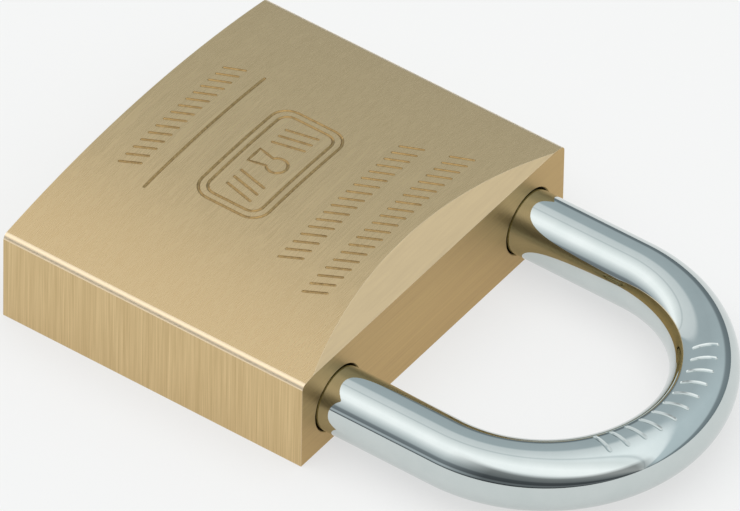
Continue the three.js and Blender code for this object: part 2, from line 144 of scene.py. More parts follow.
bar_radius = (shackle_high.z - shackle_low.z) / 2
leg_y = shackle_high.y - bar_radius
leg_z = (shackle_high.z + shackle_low.z) / 2
crown_x = shackle_high.x - bar_radius - leg_y
plug_radius = (plug_high.y - plug_low.y) / 2
plug_z = (plug_high.z + plug_low.z) / 2
bolt_x = (bolt_low.x + bolt_high.x) / 2
bolt_radius = (bolt_high.x - bolt_low.x) / 2
cam_radius = (cam_high.y - cam_low.y) / 2
toe_tip_x = bolt_x - bolt_radius - (BOLT_FIT + TOE_TIP) * MM
neck_x = bolt_x - LIFT * MM
neck_radius = bar_radius - NOTCH_DEPTH * MM
notch_half = bolt_radius + NOTCH_FIT * MM
bar_reach = bar_radius + OVERRUN


# ---- Mesh helpers ----

def turned(bm, axis, base, profile, steps, material=0):
    """Spins (distance along the axis, radius) pairs about the axis through base, as one shell."""
    side = Z if abs(axis.z) < 0.5 else X
    corners = [bm.verts.new(base + axis * distance + side * radius) for distance, radius in profile]
    edges = [bm.edges.new(pair) for pair in zip(corners, corners[1:])]
    before = set(bm.faces)
    bmesh.ops.spin(bm, geom=corners + edges, cent=base, axis=axis, angle=FULL_TURN, steps=steps,
                   use_merge=True)
    rings = {corner for face in set(bm.faces) - before for corner in face.verts}
    bmesh.ops.remove_doubles(bm, verts=list(rings), dist=WELD)
    shell = [face for face in bm.faces if face not in before]
    bmesh.ops.recalc_face_normals(bm, faces=shell)
    for face in shell:
        face.material_index = material


def box_shell(bm, low, high):
    """A closed box between two corners."""
    centre = (Vector(low) + Vector(high)) / 2
    size = Vector(high) - Vector(low)
    place = Matrix.Translation(centre) @ Matrix.Diagonal((*size, 1))
    bmesh.ops.create_cube(bm, size=1, matrix=place)


def bore(bm, axis, mouth, radius, depth, sides=SMALL_SIDES, material=0, flare=MOUTH_FLARE * MM):
    """A cutter for a blind hole, whose mouth may flare. The axis points out of the mouth."""
    rim = [(OVERRUN, radius)]
    if flare:
        rim = [(OVERRUN, radius + flare + OVERRUN), (0, radius + flare), (-flare, radius)]
    profile = [(OVERRUN, 0), *rim, (-depth, radius), (-depth, 0)]
    turned(bm, axis, mouth, profile, sides, material)


def extend(bm, ring, offset, size=(1, 1, 1)):
    """Extrudes an open ring of edges by an offset, and scales the new ring about its centre."""
    grown = bmesh.ops.extrude_edge_only(bm, edges=ring)["geom"]
    corners = [part for part in grown if isinstance(part, bmesh.types.BMVert)]
    bmesh.ops.translate(bm, verts=corners, vec=offset)
    centre = sum((corner.co for corner in corners), Vector()) / len(corners)
    bmesh.ops.scale(bm, verts=corners, vec=size, space=Matrix.Translation(-centre))
    return [part for part in grown if isinstance(part, bmesh.types.BMEdge)
            and all(corner in corners for corner in part.verts)]


def as_object(name, bm, finishes=()):
    """Turns a bmesh into an object at the origin."""
    mesh = bpy.data.meshes.new(name)
    bm.to_mesh(mesh)
    bm.free()
    for finish in finishes:
        mesh.materials.append(finish)
    piece = bpy.data.objects.new(name, mesh)
    bpy.context.scene.collection.objects.link(piece)
    return piece


def carve(piece, cutter_bm):
    """Cuts the shells of a bmesh out of a piece, and keeps the result, welded, as its mesh."""
    cutter = as_object(piece.name + "_cutter", cutter_bm)
    change = piece.modifiers.new("carve", "BOOLEAN")
    change.object = cutter
    change.operation = "DIFFERENCE"
    change.solver = "EXACT"
    graph = bpy.context.evaluated_depsgraph_get()
    whole = piece.data
    piece.data = bpy.data.meshes.new_from_object(piece.evaluated_get(graph))
    piece.modifiers.clear()
    bpy.data.meshes.remove(whole)
    bpy.data.objects.remove(cutter)
    bm = bmesh.new()
    bm.from_mesh(piece.data)
    bmesh.ops.remove_doubles(bm, verts=bm.verts[:], dist=CUT_WELD)
    bmesh.ops.dissolve_degenerate(bm, edges=bm.edges[:], dist=CUT_WELD)
    bm.to_mesh(piece.data)
    bm.free()


def shade(piece):
    """Smooth shading, with sharp edges kept crisp and flat faces kept flat up to their rounds."""
    piece.data.shade_smooth()
    piece.data.set_sharp_from_angle(angle=math.radians(CREASE))
    even = piece.modifiers.new("flat_faces", "WEIGHTED_NORMAL")
    even.keep_sharp = True


def mount(piece, body, nodes):
    """Rides a piece on its body, in the place of the nodes that it stands for."""
    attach(piece, body)
    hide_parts(*nodes)


# ---- Materials ----

# Where most of a noise texture's values lie
NOISE_LOW = 0.3
NOISE_HIGH = 0.7

# A thin satin lacquer. Its index is above a plain lacquer's, for the haze of fine scratches in it.
LACQUER_ROUGHNESS = 0.4
LACQUER_IOR = 1.8

# Broad bands in a belt finish, in widths and lengths of a line, and how much of the tone they make
BAND_WIDTH = 8
BAND_LENGTH = 3
BAND_SHARE = 0.2

# How far the roughness swings to each side, the mottled one as a share of the roughness
BRUSHED_SPREAD = 0.07
LATHED_SPREAD = 0.05
MOTTLED_SPREAD = 0.2

TOOL_MARK_DEPTH = 0.0015  # mm


def linear(hex_colour):
    """An sRGB hex colour as linear RGBA."""
    channels = [int(hex_colour[i:i + 2], 16) / 255 for i in (1, 3, 5)]
    return (*[c / 12.92 if c <= 0.04045 else ((c + 0.055) / 1.055) ** 2.4 for c in channels], 1)


def add(tree, kind, inputs=(), stops=(), **settings):
    """Adds one node with its settings and colour stops, and sets or links its inputs."""
    node = tree.nodes.new(kind)
    for name, value in settings.items():
        setattr(node, name, value)
    for name, value in dict(inputs).items():
        named = isinstance(name, str)
        socket = next(s for s in node.inputs if s.name == name and s.enabled) if named \
            else node.inputs[name]
        if isinstance(value, bpy.types.NodeSocket):
            tree.links.new(value, socket)
        else:
            socket.default_value = value
    for i, (position, colour) in enumerate(stops):
        elements = node.color_ramp.elements
        element = elements[i] if i < 2 else elements.new(position)
        element.position = position
        element.color = linear(colour)
    return node


def output(node, name):
    """The output in use of a node that has several of one name."""
    return next(socket for socket in node.outputs if socket.name == name and socket.enabled)


def new_finish(name):
    finish = bpy.data.materials.new(name)
    finish.use_nodes = True
    finish.node_tree.nodes.clear()
    return finish, finish.node_tree


def bare_metal(tree, tone, dark, light, roughness, spread, relief, lacquer=0.0):
    """A metal whose colour and shine both follow a noise's tone.

    spread is how far the roughness swings, relief is the bumped normal, and lacquer is the weight
    of the satin coat, which pales the highlights.
    """
    stretched = add(tree, "ShaderNodeMapRange", {
        "Value": tone, "From Min": NOISE_LOW, "From Max": NOISE_HIGH})
    level = stretched.outputs["Result"]
    colour = add(tree, "ShaderNodeMix", {"Factor": level, "A": linear(dark), "B": linear(light)},
                 data_type="RGBA")
    gloss = add(tree, "ShaderNodeMapRange", {"Value": level, "To Min": roughness - spread,
                                             "To Max": roughness + spread})
    metal = add(tree, "ShaderNodeBsdfPrincipled", {
        "Base Color": output(colour, "Result"), "Metallic": 1.0,
        "Roughness": gloss.outputs["Result"], "Normal": relief,
        "Coat Weight": lacquer, "Coat Roughness": LACQUER_ROUGHNESS, "Coat IOR": LACQUER_IOR})
    add(tree, "ShaderNodeOutputMaterial", {"Surface": metal.outputs["BSDF"]})


def streak_noise(tree, place, direction, across, along, detail):
    """Noise stretched along one axis, with streaks of a width and a length in mm."""
    scale = [1 / ((along if axis == direction else across) * MM) for axis in "XYZ"]
    lines = add(tree, "ShaderNodeMapping", {"Vector": place, "Scale": scale})
    noise = add(tree, "ShaderNodeTexNoise", {"Vector": lines.outputs["Vector"], "Scale": 1.0,
                                             "Detail": detail, "Roughness": 0.6})
    return output(noise, "Fac")


def brushed_brass(name, direction, dark, light, roughness, depth, across, along, lacquer):
    """Brass linished on an abrasive belt: fine parallel lines that break up its shine.

    direction is the axis that the lines run along, and across and along are a line's width and
    length in mm. Belt lines are about 0.05 mm wide, so they are drawn coarser here to show at all.
    depth is the height of their relief in mm, and lacquer is the weight of the satin coat.
    """
    finish, tree = new_finish(name)
    place = add(tree, "ShaderNodeTexCoord").outputs["Object"]
    line = streak_noise(tree, place, direction, across, along, 3.0)
    band = streak_noise(tree, place, direction, across * BAND_WIDTH, along * BAND_LENGTH, 2.0)
    tone = add(tree, "ShaderNodeMix", {"Factor": BAND_SHARE, "A": line, "B": band},
               data_type="FLOAT")
    relief = add(tree, "ShaderNodeBump", {"Height": line, "Strength": 1.0, "Distance": depth * MM})
    bare_metal(tree, output(tone, "Result"), dark, light, roughness, BRUSHED_SPREAD,
               relief.outputs["Normal"], lacquer)
    return finish


def plain_metal(name, dark, light, roughness, grain, depth=0.0, lacquer=0.0):
    """A metal with no direction to its surface, only a slight mottle of a grain size in mm."""
    finish, tree = new_finish(name)
    place = add(tree, "ShaderNodeTexCoord").outputs["Object"]
    speck = output(add(tree, "ShaderNodeTexNoise", {
        "Vector": place, "Scale": 1 / (grain * MM), "Detail": 3.0, "Roughness": 0.55}), "Fac")
    relief = add(tree, "ShaderNodeBump", {"Height": speck, "Strength": 1.0, "Distance": depth * MM})
    bare_metal(tree, speck, dark, light, roughness, roughness * MOTTLED_SPREAD,
               relief.outputs["Normal"], lacquer)
    return finish


def lathed_brass(name, centre_z, dark, light, roughness, pitch):
    """Brass as a lathe leaves it: rings about the X axis at a pitch in mm, on faces and rounds."""
    finish, tree = new_finish(name)
    place = add(tree, "ShaderNodeTexCoord").outputs["Object"]
    centred = add(tree, "ShaderNodeMapping", {"Vector": place, "Location": (0, 0, -centre_z)})
    waves_in_unit = 20 / FULL_TURN  # that a wave texture of scale 1 draws
    rings = output(add(tree, "ShaderNodeTexWave", {
        "Vector": centred.outputs["Vector"], "Scale": 1 / (pitch * MM * waves_in_unit),
        "Distortion": 1.5, "Detail": 2.0, "Detail Scale": 4.0}, wave_type="RINGS",
        rings_direction="X"), "Fac")
    relief = add(tree, "ShaderNodeBump", {"Height": rings, "Strength": 1.0,
                                          "Distance": TOOL_MARK_DEPTH * MM})
    bare_metal(tree, rings, dark, light, roughness, LATHED_SPREAD, relief.outputs["Normal"])
    return finish


# Lacquered satin brass: belt lines across the lock on its front and ends, and upright ones on its
# sides. All faces are one brass, but the front's colour is paler (painted light) and the ends'
# darker (painted shade) than the sides'.
front_brass_painted_light = brushed_brass("belt_brushed_brass_front_painted_light", "Y", "#D5B37B", "#DFBF88", 0.28, 0.0003,
                            across=0.2, along=6, lacquer=1.0)
side_brass = brushed_brass("belt_brushed_brass_side", "Z", "#BDA16D", "#E1C693", 0.36, 0.0014,
                           across=0.13, along=12, lacquer=0.3)
end_brass_painted_shade = brushed_brass("belt_brushed_brass_end_painted_shade", "Y", "#B4945C", "#C8AA71", 0.46, 0.0014,
                          across=0.2, along=12, lacquer=0.15)
# The bevel is ground finer than the front, so it is smoother and its lines barely show. Its colour
# is paler than the front's, painted light.
bevel_brass_painted_light = brushed_brass("fine_ground_brass_bevel_painted_light", "Y", "#DCBD90", "#E5C899", 0.34, 0.0003,
                            across=0.3, along=6, lacquer=0.6)
# Buffed brass on the rounds and broken edges, with barely a line. Its colour is the palest, a
# painted highlight along every round and edge.
buffed_brass_painted_highlight = brushed_brass("buffed_brass_edge", "Y", "#EED5B0", "#F8E0BA", 0.36, 0.0003,
                             across=0.3, along=6, lacquer=1.0)
# Drilled brass in the bores: darker, because little light gets down them.
drilled_brass = plain_metal("drilled_brass_bore", "#94783F", "#A98C52", 0.4, 0.4, 0.002)
# Engraved brass: the groove is shinier than the satin around it, and its colour is darker,
# painted shade in the grooves.
engraved_brass_painted_shade = plain_metal("engraved_brass_groove", "#97783F", "#B6955A", 0.26, 0.5, 0.0005,
                             lacquer=0.6)
# Turned brass on the plug and the works: brighter and yellower than the satin body.
turned_brass = lathed_brass("turned_brass", plug_z, "#B7964F", "#CDAE68", 0.26, 0.14)
# Faced brass on the pressed-in plugs: as even as the side is lined, so that their rings show.
pressed_brass = plain_metal("faced_brass_plug_end", "#B8A06B", "#C8B17D", 0.3, 0.35, 0.001)
# Bright chromium plate: a mirror with a faint cool green cast and almost no haze.
mirror_chrome = plain_metal("mirror_chrome_plate", "#C6CECD", "#CBD2D1", 0.035, 3.0)
# Steel inside: ground on the bolts and pins, and drawn and darker on the springs.
ground_steel = plain_metal("ground_steel", "#8C9094", "#A9ADB1", 0.28, 0.4, 0.001)
spring_steel = plain_metal("drawn_spring_wire", "#6F7377", "#8D9195", 0.3, 0.3, 0.001)

FRONT, SIDE, END, BEVEL, EDGE_HIGHLIGHT, DRILLED, ENGRAVED_SHADE = range(7)
BODY_FINISHES = (front_brass_painted_light, side_brass, end_brass_painted_shade, bevel_brass_painted_light, buffed_brass_painted_highlight, drilled_brass,
                 engraved_brass_painted_shade)


# ---- Lock body ----

def dome_drop(y):
    """How far the domed front lies below its crest at a distance y from the centre plane."""
    radius = DOME_RADIUS * MM
    return radius - math.sqrt(radius ** 2 - y ** 2)


def edges_along(bm, axis, keep):
    """The straight edges along an axis whose middle passes the keep test."""
    found = []
    for edge in bm.edges:
        start, end = edge.verts
        run = (end.co - start.co).normalized()
        if abs(run.dot(axis)) > ALIGNED and keep((start.co + end.co) / 2):
            found.append(edge)
    return found


def body_blank():
    """The block before it is drilled: dome, rounded long edges, ground bevel, broken arrises."""
    bm = bmesh.new()
    box_shell(bm, body_low, body_high)
    top = edges_along(bm, Y, lambda middle: middle.z > body_high.z - WELD)
    bmesh.ops.subdivide_edges(bm, edges=top, cuts=DOME_STRIPS - 1, use_grid_fill=True)
    for corner in bm.verts:
        if corner.co.z > body_high.z - WELD:
            corner.co.z -= dome_drop(corner.co.y)

    side = body_high.y - WELD
    long_edges = edges_along(bm, X, lambda middle: abs(middle.y) > side and middle.z > leg_z)
    corner_angle = QUARTER_TURN + math.asin(body_high.y / (DOME_RADIUS * MM))
    setback = EDGE_ROUND * MM / math.tan(corner_angle / 2)
    bmesh.ops.bevel(bm, geom=long_edges, offset=setback, offset_type="OFFSET",
                    segments=EDGE_ROUND_STEPS, profile=0.5, affect="EDGES", clamp_overlap=True,
                    material=-1)

    slope = Vector((BEVEL_DROP, 0, BEVEL_LENGTH)).normalized()
    start = Vector((body_high.x - BEVEL_LENGTH * MM, 0, body_high.z))
    cut = bmesh.ops.bisect_plane(bm, geom=bm.verts[:] + bm.edges[:] + bm.faces[:], dist=WELD,
                                 plane_co=start, plane_no=slope, clear_outer=True)
    rim = [part for part in cut["geom_cut"] if isinstance(part, bmesh.types.BMEdge)]
    bmesh.ops.edgeloop_fill(bm, edges=rim)
    bmesh.ops.recalc_face_normals(bm, faces=bm.faces[:])
    paint_block(bm, slope)
    # The broken edges take the palest colour, a painted highlight.
    sharp = [edge for edge in bm.edges if edge.calc_face_angle(0) > math.radians(CREASE)]
    bmesh.ops.bevel(bm, geom=sharp, offset=EDGE_BREAK * MM, offset_type="OFFSET",
                    segments=EDGE_BREAK_STEPS, profile=0.5, affect="EDGES", clamp_overlap=True,
                    material=EDGE_HIGHLIGHT)
    return bm


def paint_block(bm, slope):
    """Gives each face of the block the finish that its grinding leaves, and its colour: a paler
    front and bevel (painted light), darker ends (painted shade), and the palest rounds and edges
    (a painted highlight).

    The dome's facets lean by up to 10 degrees. The back is ground as the front is.
    """
    least = math.cos(math.radians(FACE_TILT))
    for face in bm.faces:
        # Faces that fit no axis, the rounds, take the palest colour, a painted highlight.
        face.material_index = EDGE_HIGHLIGHT
        for axis, finish in ((X, END), (Y, SIDE), (Z, FRONT)):
            if abs(face.normal.dot(axis)) > least:
                face.material_index = finish
        if face.normal.dot(slope) > ALIGNED:
            face.material_index = BEVEL


def main_bores():
    """The bores for the shackle's legs, and the stepped one for the plug and the cam."""
    bm = bmesh.new()
    leg_bore = bar_radius + LEG_FIT * MM
    end = body_high.x
    bore(bm, X, Vector((end, -leg_y, leg_z)), leg_bore, end - shackle_low.x + LEG_BORE_END * MM,
         BORE_SIDES, DRILLED)
    bore(bm, X, Vector((end, leg_y, leg_z)), leg_bore, end - toe_tip_x + TOE_END_GAP * MM,
         BORE_SIDES, DRILLED)
    hole = plug_radius + PLUG_FIT * MM
    step = plug_high.x + PLUG_END_GAP * MM
    cam_hole = cam_radius + CAM_FIT * MM
    flare = MOUTH_FLARE * MM
    turned(bm, X, Vector((0, 0, plug_z)), [
        (body_low.x - OVERRUN, 0),
        (body_low.x - OVERRUN, hole + flare + OVERRUN),
        (body_low.x, hole + flare),
        (body_low.x + flare, hole),
        (step, hole),
        (step, cam_hole),
        (bolt_x, cam_hole),
        (bolt_x, 0),
    ], BORE_SIDES, DRILLED)
    return bm


def bolt_bore():
    """The bore for the bolts, drilled right across from the toe side into the heel leg's bore."""
    bm = bmesh.new()
    bore(bm, Y, Vector((bolt_x, body_high.y, plug_z)), bolt_radius + BOLT_FIT * MM,
         body_high.y + leg_y, BOLT_BORE_SIDES, DRILLED, 0)
    return bm


def small_bores():
    """The holes for the pin stacks and the retaining pins."""
    bm = bmesh.new()
    for number in STACKS:
        low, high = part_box(f"chamber_plug_{number}")
        bore(bm, Y, Vector(((low.x + high.x) / 2, body_high.y, plug_z)),
             (high.x - low.x) / 2 + PRESS_FIT * MM, body_high.y - CHAMBER_START * MM,
             SMALL_SIDES, DRILLED, 0)
    for node in ("shackle_retaining_pin", "plug_retaining_pin"):
        low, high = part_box(node)
        bore(bm, -Z, Vector(((low.x + high.x) / 2, (low.y + high.y) / 2, 0)),
             (high.x - low.x) / 2 + PRESS_FIT * MM, high.z, SMALL_SIDES, DRILLED, 0)
    return bm


# ---- Engraving ----

def stroke(bm, start, end, radius, pieces=1, material=0):
    """A round-nosed tool stroke, laid flat, as a capsule. Points and radius in mm."""
    begin = Vector((*start, 0)) * MM
    run = Vector((*end, 0)) * MM - begin
    size = radius * MM
    cap = [QUARTER_TURN * i / CAP_STEPS for i in range(CAP_STEPS + 1)]
    profile = [(-size * math.cos(turn), size * math.sin(turn)) for turn in cap]
    profile += [(run.length * i / pieces, size) for i in range(1, pieces)]
    profile += [(run.length + size * math.cos(turn), size * math.sin(turn))
                for turn in reversed(cap)]
    turned(bm, run.normalized(), begin, profile, STROKE_SIDES, material)


def facets(start, end):
    """How many facets a straight line on the front is made of."""
    return max(1, round(math.dist(start, end) / FACET_LENGTH))


def engrave(bm, start, end):
    """A straight engraved stroke on the front."""
    stroke(bm, start, end, STROKE_RADIUS, facets(start, end), ENGRAVED_SHADE)


def engrave_outline(bm, points):
    """A closed engraved line through points on the front, as one ring-shaped tube."""
    before = set(bm.faces)
    rings = []
    for last, here, after in zip([points[-1]] + points, points, points[1:] + [points[0]]):
        arriving = (Vector(here) - Vector(last)).normalized()
        leaving = (Vector(after) - Vector(here)).normalized()
        heading = arriving + leaving
        place = (Matrix.Translation(Vector((*here, 0)) * MM)
                 @ Matrix.Rotation(math.atan2(heading.y, heading.x), 4, "Z")
                 @ Matrix.Rotation(QUARTER_TURN, 4, "Y"))
        made = bmesh.ops.create_circle(bm, segments=STROKE_SIDES, radius=STROKE_RADIUS * MM,
                                       matrix=place)
        rings.append(list({edge for corner in made["verts"] for edge in corner.link_edges}))
    for ring, following in zip(rings, rings[1:] + [rings[0]]):
        bmesh.ops.bridge_loops(bm, edges=ring + following)
    shell = [face for face in bm.faces if face not in before]
    bmesh.ops.recalc_face_normals(bm, faces=shell)
    for face in shell:
        face.material_index = ENGRAVED_SHADE


def side_points(points):
    """The points of a closed outline, with more put in along its longer sides."""
    filled = []
    for start, end in zip(points, points[1:] + [points[0]]):
        steps = facets(start, end)
        filled += [tuple(Vector(start).lerp(Vector(end), i / steps)) for i in range(steps)]
    return filled


def arc(centre, radius, start, end, steps):
    """Points along an arc on the front, with its angles in degrees from +X towards +Y."""
    turns = [math.radians(start + (end - start) * i / steps) for i in range(steps + 1)]
    return [(centre[0] + radius * math.cos(turn), centre[1] + radius * math.sin(turn))
            for turn in turns]


def rounded_frame(centre, half_x, half_y, corner):
    """Points round a rectangle with rounded corners, along the lock and across it."""
    points = []
    for turn, (side_x, side_y) in enumerate(((1, 1), (-1, 1), (-1, -1), (1, -1))):
        middle = (centre[0] + side_x * (half_x - corner), centre[1] + side_y * (half_y - corner))
        points += arc(middle, corner, 90 * turn, 90 * turn + 90, CORNER_STEPS)
    return points


def hatch_row(bm, x, first_y, last_y, count, height, slant):
    """A band of equal slanted strokes across the lock."""
    for i in range(count):
        y = first_y + (last_y - first_y) * i / (count - 1)
        engrave(bm, (x - height / 2, y - slant / 2), (x + height / 2, y + slant / 2))


def front_marks():
    """Plain ornament on the dome: hatched bands, a rule, and a keyhole in a double frame."""
    bm = bmesh.new()
    rule_x = -30.4
    centre = (-21.2, 0.8)
    x, y = centre
    hatch_row(bm, x=-34.0, first_y=-8.4, last_y=11.4, count=15, height=2.2, slant=1.1)
    engrave(bm, (rule_x, -10.6), (rule_x, 12.2))
    engrave_outline(bm, side_points(rounded_frame(centre, half_x=4.7, half_y=8.8, corner=2.2)))
    engrave_outline(bm, side_points(rounded_frame(centre, half_x=3.7, half_y=7.8, corner=1.4)))

    bow, bow_radius = (x + 0.9, y), 1.25
    neck = 35  # degrees that the keyhole's bow leaves open to each side of its skirt
    skirt_x, skirt_half = x - 2.3, 1.2
    engrave_outline(bm, side_points(arc(bow, bow_radius, neck - 180, 180 - neck, BOW_STEPS) + [
        (skirt_x, y + skirt_half), (skirt_x, y - skirt_half)]))
    strokes = 3  # to each side of the keyhole
    half, lean, first, pitch = 1.9, 0.45, 3.4, 1.3
    for side in (-1, 1):
        for i in range(strokes):
            middle = y + side * (first + pitch * i)
            engrave(bm, (x - half, middle - lean * side), (x + half, middle + lean * side))

    hatch_row(bm, x=-10.3, first_y=-10.2, last_y=12.8, count=17, height=2.4, slant=1.2)
    hatch_row(bm, x=-4.9, first_y=-13.0, last_y=15.0, count=20, height=2.4, slant=1.2)
    lift = body_high.z + (STROKE_RADIUS - STROKE_DEPTH) * MM
    for corner in bm.verts:
        corner.co.z += lift - dome_drop(corner.co.y)
    return bm


def make_body():
    piece = as_object("brass_lock_body", body_blank(), BODY_FINISHES)
    for cutter in (main_bores(), small_bores(), bolt_bore(), front_marks()):
        carve(piece, cutter)
    shade(piece)
    mount(piece, "lock_case", ["lock_body"])


# ---- Shackle ----

def shackle_bar():
    """The bent bar: heel leg, crown and toe leg, with chamfered tips."""
    bm = bmesh.new()
    chamfer = TIP_CHAMFER * MM
    shrink = (bar_radius - chamfer) / bar_radius
    taper = Vector((1, shrink, shrink))
    spread = Vector((1, 1 / shrink, 1 / shrink))
    place = (Matrix.Translation((shackle_low.x, -leg_y, leg_z))
             @ Matrix.Rotation(QUARTER_TURN, 4, "Y"))
    made = bmesh.ops.create_circle(bm, segments=BAR_SIDES, radius=bar_radius - chamfer,
                                   matrix=place)
    first = list({edge for corner in made["verts"] for edge in corner.link_edges})
    ring = extend(bm, first, X * chamfer, spread)
    ring = extend(bm, ring, X * (crown_x - shackle_low.x - chamfer))
    corners = list({corner for edge in ring for corner in edge.verts})
    bend = bmesh.ops.spin(bm, geom=corners + ring, cent=Vector((crown_x, 0, leg_z)), axis=Z,
                          angle=HALF_TURN, steps=CROWN_STEPS)
    ring = [part for part in bend["geom_last"] if isinstance(part, bmesh.types.BMEdge)]
    ring = extend(bm, ring, X * (toe_tip_x + chamfer - crown_x))
    ring = extend(bm, ring, -X * chamfer, taper)
    for rim in (first, ring):
        bmesh.ops.edgeloop_fill(bm, edges=rim)
    bmesh.ops.remove_doubles(bm, verts=bm.verts[:], dist=WELD)
    bmesh.ops.recalc_face_normals(bm, faces=bm.faces[:])
    return bm


def notch_and_neck_cuts():
    """The notches for the bolts, and the neck that comes level with them when the lock is open."""
    bm = bmesh.new()
    for side in (-1, 1):
        inner, outer = sorted((side * (leg_y - bar_reach), side * (leg_y - neck_radius)))
        box_shell(bm, (bolt_x - notch_half, inner, leg_z - bar_reach),
                  (bolt_x + notch_half, outer, leg_z + bar_reach))
    turned(bm, X, Vector((neck_x, -leg_y, leg_z)), [
        (-notch_half, neck_radius),
        (-notch_half, bar_reach),
        (notch_half, bar_reach),
        (notch_half, neck_radius),
        (-notch_half, neck_radius),
    ], BAR_SIDES)
    return bm


def flat_cut():
    """The flat that the retaining pin runs along, from the neck to where the pin stops the leg."""
    bm = bmesh.new()
    flat_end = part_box("shackle_retaining_pin")[1].x + NOTCH_FIT * MM
    box_shell(bm, (neck_x, -leg_y - bar_reach, leg_z - bar_reach),
              (flat_end, -leg_y - neck_radius, leg_z + bar_reach))
    return bm


def crown_stamps():
    """A row of plain stamped ticks along the top of the crown."""
    bm = bmesh.new()
    count = 11
    length = 2.6
    sweep = 33  # degrees to each side of the crown's middle
    lean = 16  # degrees from square across the bar
    lift = (STAMP_RADIUS - STAMP_DEPTH) * MM
    for i in range(count):
        before = set(bm.verts)
        stroke(bm, (-length / 2, 0), (length / 2, 0), STAMP_RADIUS, STAMP_FACETS)
        fresh = [corner for corner in bm.verts if corner not in before]
        for corner in fresh:
            corner.co.z += math.sqrt(bar_radius ** 2 - corner.co.x ** 2) + lift
        turn = math.radians(-sweep + 2 * sweep * i / (count - 1))
        place = (Matrix.Translation((crown_x, 0, leg_z)) @ Matrix.Rotation(turn, 4, "Z")
                 @ Matrix.Translation((leg_y, 0, 0)) @ Matrix.Rotation(math.radians(lean), 4, "Z"))
        bmesh.ops.transform(bm, matrix=place, verts=fresh)
    return bm


def make_shackle():
    piece = as_object("chrome_shackle", shackle_bar(), (mirror_chrome,))
    for cutter in (notch_and_neck_cuts(), flat_cut(), crown_stamps()):
        carve(piece, cutter)
    shade(piece)
    mount(piece, "shackle", ["shackle"])


# ---- Cylinder plug and the ends that show ----

def plug_blank():
    """The turned plug: chamfered face, plain barrel and the groove for its retaining pin."""
    bm = bmesh.new()
    pin_low, pin_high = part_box("plug_retaining_pin")
    groove = (pin_low.x + pin_high.x) / 2
    chamfer = PLUG_CHAMFER * MM
    half = GROOVE_HALF * MM
    turned(bm, X, Vector((0, 0, plug_z)), [
        (plug_low.x, 0),
        (plug_low.x, plug_radius - chamfer),
        (plug_low.x + chamfer, plug_radius),
        (groove - half, plug_radius),
        (groove - half, GROOVE_RADIUS * MM),
        (groove + half, GROOVE_RADIUS * MM),
        (groove + half, plug_radius),
        (plug_high.x - chamfer, plug_radius),
        (plug_high.x, plug_radius - chamfer),
        (plug_high.x, 0),
    ], BORE_SIDES)
    return bm


def keyway_cuts():
    """The two strips of the stepped keyway, each with a flared mouth, as one cutter each."""
    half = KEYWAY_WIDTH / 2
    shift = KEYWAY_STEP / 2
    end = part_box(f"key_pin_{STACKS[-1]}")[1].x + OVERRUN
    flare = KEYWAY_FLARE * MM
    for low_y, high_y, middle in ((-KEYWAY_FLOOR, 0, -shift), (-KEYWAY_STEP, KEYWAY_TOP, shift)):
        low = Vector((0, low_y, middle - half)) * MM + Z * plug_z
        high = Vector((0, high_y, middle + half)) * MM + Z * plug_z
        centre = (low + high) / 2
        bm = bmesh.new()
        corners = bmesh.ops.create_grid(bm, x_segments=1, y_segments=1, size=1)["verts"]
        for corner in corners:
            corner.co = Vector((end, high.y if corner.co.x > 0 else low.y,
                                high.z if corner.co.y > 0 else low.z))
        ring = extend(bm, bm.edges[:], X * (plug_low.x + flare - end))
        size = high - centre
        for reach in (flare, OVERRUN):
            wider = (1, 1 + reach / size.y, 1 + reach / size.z)
            ring = extend(bm, ring, -X * reach, wider)
            size += Vector((0, reach, reach))
        bmesh.ops.edgeloop_fill(bm, edges=ring)
        bmesh.ops.recalc_face_normals(bm, faces=bm.faces[:])
        yield bm


def plug_cuts():
    """The pin holes and the slot for the cam's tang."""
    bm = bmesh.new()
    for number in STACKS:
        low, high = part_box(f"key_pin_{number}")
        bore(bm, Y, Vector(((low.x + high.x) / 2, plug_radius, plug_z)),
             (high.x - low.x) / 2 + PIN_FIT * MM, plug_radius - low.y + PIN_FIT * MM,
             SMALL_SIDES, 0, 0)
    tang = TANG_WIDTH * MM / 2
    box_shell(bm, (plug_high.x - TANG_DEPTH * MM, -plug_radius - OVERRUN, plug_z - tang),
              (plug_high.x + OVERRUN, plug_radius + OVERRUN, plug_z + tang))
    return bm


def make_plug():
    piece = as_object("turned_cylinder_plug", plug_blank(), (turned_brass,))
    for cutter in (*keyway_cuts(), plug_cuts()):
        carve(piece, cutter)
    shade(piece)
    mount(piece, "plug", ["cylinder_plug"])


def pressed_end(name, node, axis, finish):
    """A short round piece with broken ends, pressed flush into its hole."""
    bm = bmesh.new()
    low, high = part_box(node)
    half = (high - low).dot(axis) / 2
    radius = (high.x - low.x) / 2
    chamfer = PRESS_FIT * MM
    turned(bm, axis, (low + high) / 2, [
        (-half, 0),
        (-half, radius - chamfer),
        (chamfer - half, radius),
        (half - chamfer, radius),
        (half, radius - chamfer),
        (half, 0),
    ], SMALL_SIDES)
    piece = as_object(name, bm, (finish,))
    shade(piece)
    mount(piece, "lock_case", [node])


make_body()
make_shackle()
make_plug()
for number in STACKS:
    pressed_end(f"flush_chamber_plug_{number}", f"chamber_plug_{number}", Y,
                pressed_brass)
pressed_end("flush_bolt_bore_plug", "bolt_bore_plug", Y, pressed_brass)
for node in ("shackle_retaining_pin", "plug_retaining_pin"):
    pressed_end("flush_" + node, node, Z, ground_steel)

# The works inside keep their own shapes.
FINISH_OF_SLOT = {
    "satin_brass": side_brass,
    "plug_brass": pressed_brass,
    "turned_brass": turned_brass,
    "chrome_plate": mirror_chrome,
    "spring_steel": spring_steel,
    "ground_steel": ground_steel,
}
for subpart in frame["record"]["subparts"]:
    mesh = frame["nodes"][subpart["node"]].data
    mesh.materials.clear()
    mesh.materials.append(FINISH_OF_SLOT[subpart["material_slot"]])


# ---- Stage ----

